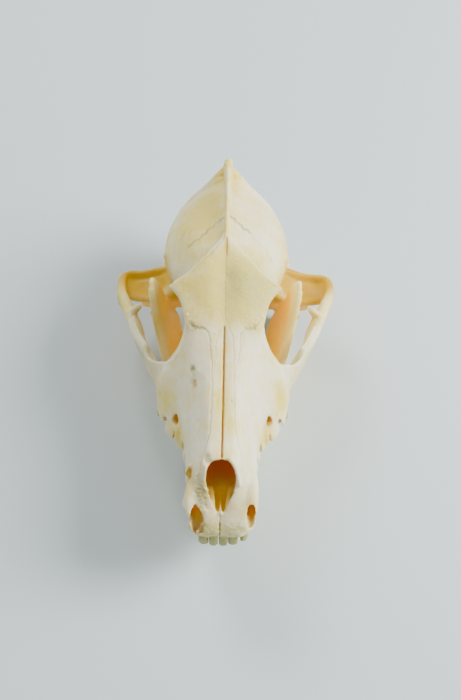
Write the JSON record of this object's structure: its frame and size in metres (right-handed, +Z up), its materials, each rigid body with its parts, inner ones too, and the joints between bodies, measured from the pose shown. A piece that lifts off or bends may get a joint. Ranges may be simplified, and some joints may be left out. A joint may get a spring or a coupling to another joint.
{
  "type": "coyote skull",
  "caption": "Dry coyote skull lying on its lower jaw: long snout, flaring cheek arches, domed braincase with a crest, and worn empty tooth sockets.",
  "frame": {"origin": "on the table, under the middle of the skull's bounding box", "axes": "the nose points to -Y and the back of the head to +Y, the animal's left side is +X, and +Z is up from the table"},
  "size_m": [0.1012, 0.1932, 0.0754],
  "materials": {
    "bone": "dry cleaned bone, silky matt",
    "jaw_bone": "dry cleaned bone, yellower than the cranium",
    "tooth": "pale enamel with a soft gloss"
  },
  "bodies": {
    "root": {"cranium": "bone", "lower_incisor_1_left": "tooth", "lower_incisor_1_right": "tooth", "lower_incisor_2_left": "tooth", "lower_incisor_2_right": "tooth", "lower_incisor_3_left": "tooth", "lower_incisor_3_right": "tooth", "lower_jaw_left": "jaw_bone", "lower_jaw_right": "jaw_bone", "lower_molar_1_left": "tooth", "lower_molar_1_right": "tooth", "lower_molar_2_left": "tooth", "lower_molar_2_right": "tooth", "lower_molar_3_left": "tooth", "lower_molar_3_right": "tooth", "lower_premolar_2_left": "tooth", "lower_premolar_2_right": "tooth", "lower_premolar_3_left": "tooth", "lower_premolar_3_right": "tooth", "lower_premolar_4_left": "tooth", "lower_premolar_4_right": "tooth", "upper_incisor_1_left": "tooth", "upper_incisor_1_right": "tooth", "upper_incisor_2_left": "tooth", "upper_incisor_2_right": "tooth", "upper_incisor_3_left": "tooth", "upper_molar_1_left": "tooth", "upper_molar_1_right": "tooth", "upper_molar_2_left": "tooth", "upper_molar_2_right": "tooth"}
  },
  "joints": []
}
